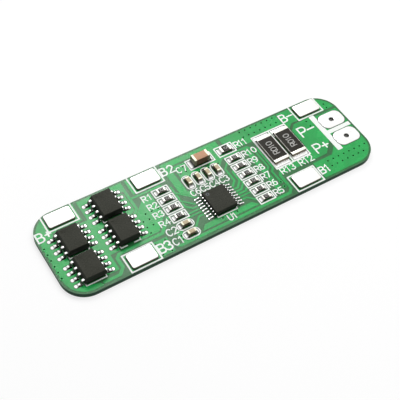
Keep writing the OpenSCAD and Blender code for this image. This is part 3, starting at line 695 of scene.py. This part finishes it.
def weave_group():
    """Glass-fibre weave: two crossing waves whose product rises where warp and weft cross."""
    tree, given, out = new_group("Fibre weave", {"Threads per mm": 2.2}, Height="Float")
    wave = {"Vector": millimetres(tree), "Scale": given["Threads per mm"], "Distortion": 0.6,
            "Detail": 1.0, "Detail Scale": 2.0}
    waves = [node(tree, "TexWave", wave, bands_direction=axis).outputs[1] for axis in ("X", "Y")]
    feed(tree, out, Height=calc(tree, "MULTIPLY", *waves))


def uneven_group():
    """Uneven metal: roughness between two values, and a height, from one slow noise."""
    tree, given, out = new_group("Uneven metal", {"Patches per mm": 2.0, "Low": 0.15, "High": 0.4},
                                 Roughness="Float", Height="Float")
    slow = noise(tree, millimetres(tree), given["Patches per mm"], 4.0)
    feed(tree, out, Roughness=stretched(tree, slow, 0.35, 0.65, given["Low"], given["High"]),
         Height=slow)


def flat_group():
    """Lying flat: 1 where a surface lies level, either way up, and 0 where it stands on edge.
    It compares the size of the normal's Z with the values at which it counts as steep and flat."""
    tree, given, out = new_group("Lying flat", {"Steep": 0.25, "Flat": 0.7}, Mask="Float")
    z = node(tree, "SeparateXYZ", {0: node(tree, "TexCoord").outputs["Normal"]}).outputs[2]
    feed(tree, out, Mask=stretched(tree, calc(tree, "ABSOLUTE", z), given["Steep"], given["Flat"]))


def over_copper_mask(tree):
    """1 where the lacquer is raised by the copper under it, on either face of the board: the
    distance from the board's middle plane, compared with the step between the two levels."""
    middle, blur = MASK_TOP / 2, 0.003
    z = node(tree, "SeparateXYZ", {0: millimetres(tree)}).outputs[2]
    away = calc(tree, "ABSOLUTE", calc(tree, "SUBTRACT", z, middle))
    step = (MASK_TOP + BARE_TOP) / 2 - middle
    return stretched(tree, away, step - blur, step + blur)


# ---------- materials ----------


def rgba(values, by=1.0):
    """A colour multiplied whole or part by part, with full alpha."""
    return (*(np.array(values) * by), 1.0)


def new_material(name, **shader):
    """A material with a Principled shader; constants are set on the shader's own sockets."""
    material = bpy.data.materials.new(name)
    material.use_nodes = True
    tree = material.node_tree
    return tree, feed(tree, tree.nodes["Principled BSDF"], **shader)


def bump(tree, surface, height, depth):
    """Relief of a given depth in millimetres from a height value."""
    feed(tree, surface, Normal=node(tree, "Bump", {"Height": height, "Distance": depth * MM}).outputs[0])


def lacquer_material(c):
    """Green lacquer: lighter where it lies on copper, darker on the bare laminate, with
    slow changes of thickness and the weave showing through."""
    tree, surface = new_material("lacquer", IOR=1.5)
    slow = noise(tree, millimetres(tree), 0.35, 3.0)
    weave = group_node(tree, "Fibre weave", Threads_per_mm=2.0)[0]
    bare = mixed(tree, weave, rgba(c.over_bare), rgba(c.over_bare, [1.35, 1.22, 1.3]))
    base = mixed(tree, over_copper_mask(tree), bare, rgba(c.over_copper))
    feed(tree, surface, Base_Color=times(tree, base, stretched(tree, slow, *NOISE_RANGE, 0.85, 1.15)),
         Roughness=stretched(tree, slow, *NOISE_RANGE, 0.2, 0.3))
    bump(tree, surface, weave, 0.006)


def laminate_material(c):
    """Cut laminate: thin glass layers seen as fine bands up the edge, broken by noise."""
    tree, surface = new_material("cut_laminate", Roughness=0.7, Specular_IOR_Level=0.2)
    layers = noise(tree, times(tree, millimetres(tree), (1.2, 1.2, 14.0)), 1.0, 4.0)
    feed(tree, surface, Base_Color=mixed(tree, layers, rgba(c.laminate, 0.35), rgba(c.laminate, 1.5)))
    bump(tree, surface, layers, 0.03)


def nickel_material(c):
    """Rolled nickel: fine lines along the strip, and painted shade on the steep sides, which are dark
    and not metal.
    """
    tree, surface = new_material("rolled_nickel")
    lines = noise(tree, times(tree, millimetres(tree), (1.0, 30.0, 1.0)), 1.0, 3.0)
    face = mixed(tree, lines, rgba(c.nickel, 0.94), rgba(c.nickel))
    upper = group_node(tree, "Lying flat", Steep=0.6, Flat=0.93)[0]
    # Painted shade: steep sides take a dark brown share of the nickel and lose the metal
    feed(tree, surface, Base_Color=mixed(tree, upper, rgba(c.nickel, [0.12, 0.1, 0.07]), face),
         Metallic=upper, Roughness=stretched(tree, lines, *NOISE_RANGE, 0.24, 0.4))
    bump(tree, surface, lines, 0.004)


def grained_material(name, tint, grains, contrast, depth, side, roughness, specular, metallic):
    """A material with fine grain in its colour and relief, and painted shade that makes it
    darker by the shares in side where it stands steep."""
    tree, surface = new_material(name, Roughness=roughness, Specular_IOR_Level=specular,
                                 Metallic=metallic)
    grain = group_node(tree, "Fine grain", Color=tint, Grains_per_mm=grains, Contrast=contrast)
    face = grain["Color"]
    if side:
        # Painted shade: steep faces take the grain's colour times the shares in side
        face = mixed(tree, group_node(tree, "Lying flat")[0], times(tree, face, side), face)
    feed(tree, surface, Base_Color=face)
    bump(tree, surface, grain["Height"], depth)


def metal_material(name, tint, patches, low, high, depth, steep, flat, steep_shade):
    """A metal with uneven gloss and slight relief, with painted shade on its steep sides."""
    tree, surface = new_material(name, Metallic=1.0)
    uneven = group_node(tree, "Uneven metal", Patches_per_mm=patches, Low=low, High=high)
    face = group_node(tree, "Fine grain", Color=tint, Grains_per_mm=patches * 2, Contrast=0.12)["Color"]
    up = group_node(tree, "Lying flat", Steep=steep, Flat=flat)[0]
    # Painted shade: steep faces take the grain's colour times the steep shade share
    feed(tree, surface, Base_Color=mixed(tree, up, times(tree, face, steep_shade), face),
         Roughness=uneven["Roughness"])
    bump(tree, surface, uneven["Height"], depth)


def make_materials(c):
    """Shader groups and materials, by name."""
    for make_group in (grain_group, weave_group, uneven_group, flat_group):
        make_group()
    for make_material in (lacquer_material, laminate_material, nickel_material):
        make_material(c)
    # Grained finishes: tint, grains per mm, contrast, relief in mm, share of the tint kept on steep
    # sides as painted shade, roughness, specular level and metallic share
    # Painted shade on the steep sides of the ceramics
    cut = (0.24, 0.2, 0.12)
    grained = {
        "print": (rgba(c.ink), 12.0, 0.14, 0.006, None, 0.55, 0.5, 0.0),
        # Moulding: painted shade on the bodies' steep sides
        "moulded_plastic": (rgba(c.moulding), 5.0, 2.2, 0.02, (0.3, 0.3, 0.3), 0.62, 0.25, 0.0),
        # Lighter, bluer moulding for the ring round the controller's mark: a painted highlight on the
        # mark's rim
        "mark_plastic": (rgba(c.moulding, [4, 4.5, 7]), 9.0, 0.3, 0.004, None, 0.3, 0.5, 0.0),
        "fired_ceramic": (rgba(c.ceramic), 6.0, 0.3, 0.006, cut, 0.5, 0.5, 0.0),
        "pale_ceramic": (rgba(c.pale_ceramic), 6.0, 0.3, 0.006, cut, 0.5, 0.5, 0.0),
        # Capacitor ends and resistor ceramic: painted shade on their steep sides
        "cream_tin": (rgba(c.cap_ends), 6.0, 0.3, 0.006, (0.27, 0.23, 0.19), 0.38, 0.5, 0.35),
        "plate": (rgba(c.plate), 6.0, 0.3, 0.006, (0.12, 0.1, 0.07), 0.4, 0.5, 0.0),
        "glaze": (rgba(c.glaze), 7.0, 0.6, 0.008, None, 0.35, 0.22, 0.0),
        "value_print": (rgba(c.value_ink), 12.0, 0.2, 0.004, None, 0.5, 0.5, 0.0),
        # The lacquer's green at 0.12: painted shade inside the via holes
        "via_lining": (rgba(c.over_copper, 0.12), 8.0, 0.3, 0.004, None, 0.6, 0.1, 0.0),
    }
    for name, look in grained.items():
        grained_material(name, *look)
    # Metals: tint, patches per mm, lowest and highest roughness, relief in mm, how level a face
    # counts as steep and as flat, and share of the tint kept on steep sides as painted shade
    metals = {
        "tin": (rgba(c.tin), 3.0, 0.14, 0.34, 0.012, 0.6, 0.95, (0.07, 0.07, 0.065)),
        "pad_tin": (rgba(c.tin), 1.2, 0.12, 0.3, 0.02, 0.7, 0.97, (0.2, 0.2, 0.19)),
        "dull_tin": (rgba(c.tin, 0.97), 5.0, 0.2, 0.4, 0.006, 0.82, 0.98, (0.09, 0.09, 0.085)),
        "end_tin": (rgba(c.tin, [0.95, 0.94, 0.86]), 6.0, 0.3, 0.5, 0.008, 0.4, 0.9, (0.13, 0.11, 0.08)),
        "tinned_copper": (rgba(c.tin, 0.08), 5.0, 0.3, 0.5, 0.004, 0.25, 0.7, (0.3, 0.3, 0.3)),
    }
    for name, look in metals.items():
        metal_material(name, *look)


# ---------- stage ----------


def looked_at(tree):
    """1 for rays from the camera, from gloss and through clear things, and 0 for the rest."""
    rays = node(tree, "LightPath").outputs
    seen = calc(tree, "MAXIMUM", rays["Is Camera Ray"], rays["Is Glossy Ray"])
    return calc(tree, "MAXIMUM", seen, rays["Is Transmission Ray"])


def make_world(strength):
    """White where it is looked at or mirrored, and an even dimmer light on everything else."""
    world = bpy.data.worlds.new("world")
    world.use_nodes = True
    tree = world.node_tree
    level = stretched(tree, looked_at(tree), 0.0, 1.0, strength, 1.0)
    feed(tree, tree.nodes["Background"], Color=WHITE, Strength=level)
    bpy.context.scene.world = world


def make_floor(tint):
    """A wide floor that lights itself where the camera or a glossy surface looks at it, so
    that it stays pale and still takes a soft shadow."""
    reach, level = 1.5, -0.00002
    own_light, own_share, unseen_tint = 1.03, 0.7, 0.45
    mesh = bpy.data.meshes.new("floor")
    corners = np.array([[-1, -1], [1, -1], [1, 1], [-1, 1]]) * reach
    mesh.from_pydata(level_loop(corners, level).tolist(), [], [(0, 1, 2, 3)])
    tree, surface = new_material("floor", Roughness=0.8)
    glow = node(tree, "Emission", {"Color": WHITE, "Strength": own_light})
    seen = looked_at(tree)
    feed(tree, surface, Base_Color=mixed(tree, seen, rgba(tint, unseen_tint), rgba(tint)))
    part = calc(tree, "MULTIPLY", seen, own_share)
    both = node(tree, "MixShader", {0: part, 1: surface.outputs[0], 2: glow.outputs[0]})
    feed(tree, tree.nodes["Material Output"], Surface=both.outputs[0])
    mesh.materials.append(bpy.data.materials["floor"])
    new_object("floor", mesh)


def make_lamp(name, place, size, watts, mirrored):
    """A square soft lamp aimed at the board's middle, which either lights or is mirrored."""
    data = bpy.data.lights.new(name, "AREA")
    data.energy, data.size = watts, size
    lamp = new_object(name, data)
    lamp.location = place
    lamp.visible_glossy, lamp.visible_diffuse = mirrored, not mirrored
    lamp.rotation_euler = (-Vector(place)).to_track_quat("-Z", "Y").to_euler()


def make_camera(stage):
    """Camera from the front left, looking down on the board."""
    data = bpy.data.cameras.new("camera")
    data.sensor_width, data.lens = 36.0, stage.lens
    data.shift_x = -0.0104
    data.clip_start, data.clip_end = 0.01, 10.0
    camera = new_object("camera", data)
    camera.location, camera.rotation_euler = stage.place, stage.turn
    bpy.context.scene.camera = camera


# ---------- operators ----------


class BOARD_OT_finish(Operator):
    """Lacquer, laminate, copper and print of the bare board"""

    bl_idname = "board.finish"
    bl_label = "Finish the bare board"

    def execute(self, context):
        make_materials(context.scene.board_colours)
        for name, finish in BARE_BOARD.items():
            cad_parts[name].material_slots[0].material = bpy.data.materials[finish]
        return {"FINISHED"}


class BOARD_OT_lettering(Operator):
    """Printed letters and digits beside the parts"""

    bl_idname = "board.lettering"
    bl_label = "Print the letters"

    def execute(self, context):
        make_piece("lettering", printed(LABELS, context.scene.board_letters), "print", "white_ink")
        return {"FINISHED"}


class BOARD_OT_solder(Operator):
    """Solder on the pads, climbing the leads and the chip parts' ends"""

    bl_idname = "board.solder"
    bl_label = "Solder the pads"

    def execute(self, context):
        *fets, controller = (package_pads(context.scene, body) for body in LEADS)
        make_piece("transistor_solder", sum(fets, []), "tin", "solder", "fet_pads")
        make_piece("controller_solder", controller, "tin", "solder", "controller_pads")
        chips = chip_pads(SMALL_RESISTORS, SMALL_CAPACITORS, LARGE_RESISTOR, LARGE_CAPACITOR)
        make_piece("chip_solder", chips, "tin", "solder", "small_pads")
        make_piece("shunt_solder", chip_pads(SHUNTS), "tin", "solder", "shunt_pads")
        return {"FINISHED"}


class BOARD_OT_tabs(Operator):
    """Nickel cell tabs with softened edges, and the solder under them"""

    bl_idname = "board.tabs"
    bl_label = "Make the cell tabs"

    def execute(self, context):
        sizes = context.scene.board_solder
        corner_r, edge_r = sizes.tab_corner / MM, sizes.tab_edge / MM
        solder_h, foot_r = 0.05, 0.01
        seats = []
        for name in TABS:
            at, half, low, high = box_mm(name)
            tab = placed(block(half, low, high, corner_r, edge_r), at)
            make_piece(name.replace("tab_", "nickel_"), [tab], "rolled_nickel", "nickel", name)
            seat = block(half, PAD_LOW, PAD_TOP + solder_h, corner_r, solder_h, foot_r)
            seats.append(placed(seat, at))
        make_piece("tab_solder", seats, "tin", "solder", "tab_pads")
        return {"FINISHED"}


class BOARD_OT_wire_pads(Operator):
    """Tinned wire pads, domed towards the lined hole"""

    bl_idname = "board.wire_pads"
    bl_label = "Make the wire pads"

    def execute(self, context):
        under = box_mm("bottom_copper")[2]
        for name in ("wire_pad_minus", "wire_pad_plus"):
            at, half, low, high = box_mm(name)
            pad = wire_pad(half, low, under, high, context.scene.board_solder)
            make_piece(name.replace("wire_pad", "tinned_pad"), [placed(pad, at)], "pad_tin", "solder",
                       name)
        return {"FINISHED"}


class BOARD_OT_packages(Operator):
    """Moulded bodies of the transistors and the controller"""

    bl_idname = "board.packages"
    bl_label = "Mould the package bodies"

    def execute(self, context):
        sizes = context.scene.board_packages
        for name in LEADS:
            at, half, low, high = box_mm(name)
            bevel = 0.0 if name == "controller" else sizes.bevel / MM
            body = placed(moulded_body(half, low, high, sizes, bevel), at)
            make_piece(name.replace("fet_", "transistor_") + "_body", [body], "moulded_plastic",
                       "moulding", name)
        return {"FINISHED"}


class BOARD_OT_mark(Operator):
    """Ring of lighter plastic round the controller's mark at lead 1, a painted highlight on the mark's
    rim
    """

    bl_idname = "board.mark"
    bl_label = "Mark lead 1"

    def execute(self, context):
        sizes = context.scene.board_packages
        at, half, _, high = box_mm("controller")
        width, sunk = 0.13, 0.008
        at = at + [*mark_centre(half, sizes), high - sunk]
        ring = placed(flat_ring(sizes.mark[0] / MM, width), at)
        # The ring's lighter plastic is a painted highlight
        make_piece("controller_mark", [ring], "mark_plastic", "moulding")
        return {"FINISHED"}


class BOARD_OT_leads(Operator):
    """Gull-wing leads of the packages"""

    bl_idname = "board.leads"
    bl_label = "Bend the leads"

    def execute(self, context):
        for body, leads in LEADS.items():
            p = package(body, context.scene.board_packages)
            lead = gull_wing(p.half[0], p.toe, (p.low + p.high) / 2 - PAD_TOP, p.lead_w, p.lead_t)
            parts = [part for y in p.rows for part in both_ways(lead, (0, y, PAD_TOP), p.at)]
            name = "controller_lead_rows" if body == "controller" else f"transistor_{body[-1]}_leads"
            make_piece(name, parts, "dull_tin", "lead_tin", leads)
        return {"FINISHED"}


class BOARD_OT_resistors(Operator):
    """Resistors and shunts: white ceramic, plated ends, dark coat and value"""

    bl_idname = "board.resistors"
    bl_label = "Make the resistors"

    def execute(self, context):
        skin, corner_r, edge_r, end_edge_r = 0.05, 0.03, 0.02, 0.05
        small = [(name, kind.end) for kind in (SMALL_RESISTORS, LARGE_RESISTOR) for name in kind.nodes]
        large = [(name, SHUNTS.end) for name in SHUNTS.nodes]
        for name, _ in small + large:
            at, long, wide, high, turn = chip_box(name)
            plate = block((long - skin, wide), PAD_TOP + skin, high - skin, corner_r, edge_r)
            make_piece(name.replace("resistor", "plate"), [placed(plate, at, turn)], "plate", "alumina",
                       name)
        for kind, chips in (("resistor", small), ("shunt", large)):
            caps = [cap for name, end in chips for cap in end_caps(name, end, end_edge_r)]
            make_piece(f"{kind}_plating", caps, "end_tin", "end_plating", f"{kind}_ends")
            coats = [dark_coat(name, end) for name, end in chips]
            make_piece(f"{kind}_glaze", coats, "glaze", "black_glaze", f"{kind}_coats")
        sizes = context.scene.board_letters
        values = printed(SHUNT_VALUES, sizes, on_chip=True, turn=90)
        make_piece("shunt_values", values, "value_print", "white_ink")
        codes = printed(RESISTOR_CODES, sizes, on_chip=True)
        make_piece("resistor_codes", codes, "value_print", "white_ink")
        return {"FINISHED"}


class BOARD_OT_capacitors(Operator):
    """Capacitors: ceramic blocks with plated ends"""

    bl_idname = "board.capacitors"
    bl_label = "Make the capacitors"

    def execute(self, context):
        end_skin, skin, corner_r, edge_r, end_edge_r = 0.05, 0.04, 0.07, 0.06, 0.09
        caps = []
        for kind, finish in ((SMALL_CAPACITORS, "pale_ceramic"), (LARGE_CAPACITOR, "fired_ceramic")):
            for name in kind.nodes:
                at, long, wide, high, turn = chip_box(name)
                half = (long - end_skin, wide - skin)
                body = block(half, PAD_TOP + skin, high - skin, corner_r, edge_r, edge_r)
                make_piece(name.replace("capacitor", "ceramic"), [placed(body, at, turn)], finish,
                           "ceramic", name)
                caps += end_caps(name, kind.end, end_edge_r)
        make_piece("capacitor_plating", caps, "cream_tin", "end_plating", "capacitor_ends")
        return {"FINISHED"}


class BOARD_OT_stage(Operator):
    """Pale floor, soft lamps and the camera"""

    bl_idname = "board.stage"
    bl_label = "Set the stage"

    def execute(self, context):
        stage = context.scene.board_stage
        make_floor(stage.floor)
        make_world(stage.world)
        context.scene.view_settings.view_transform = "Standard"
        for name, place, size, mirrored in LAMPS:
            make_lamp(name, place, size, getattr(stage, name), mirrored)
        make_camera(stage)
        return {"FINISHED"}


class BOARD_PT_panel(Panel):
    """Lists the steps that dress the board"""

    bl_label = "Battery Management Board"
    bl_idname = "BOARD_PT_panel"
    bl_space_type = "VIEW_3D"
    bl_region_type = "UI"
    bl_category = "Board"

    def draw(self, context):
        for step in OPERATORS:
            self.layout.operator(step.bl_idname)


GROUPS = {
    "board_colours": BoardColours, "board_packages": PackageSizes, "board_solder": SolderSizes,
    "board_letters": LetterSizes, "board_stage": StageSettings,
}
OPERATORS = (
    BOARD_OT_finish, BOARD_OT_lettering, BOARD_OT_solder, BOARD_OT_tabs, BOARD_OT_wire_pads,
    BOARD_OT_packages, BOARD_OT_mark, BOARD_OT_leads, BOARD_OT_resistors, BOARD_OT_capacitors,
    BOARD_OT_stage,
)
CLASSES = (*GROUPS.values(), *OPERATORS, BOARD_PT_panel)


def register():
    """Registers the classes and hangs the settings on the scene."""
    for cls in CLASSES:
        bpy.utils.register_class(cls)
    for name, group in GROUPS.items():
        setattr(Scene, name, PointerProperty(type=group))


def unregister():
    """Takes the settings and the classes away."""
    for name in GROUPS:
        delattr(Scene, name)
    for cls in reversed(CLASSES):
        bpy.utils.unregister_class(cls)


def main():
    """Dresses the board step by step."""
    register()
    for step in OPERATORS:
        group, name = step.bl_idname.split(".")
        getattr(getattr(bpy.ops, group), name)()


if __name__ == "__main__":
    main()
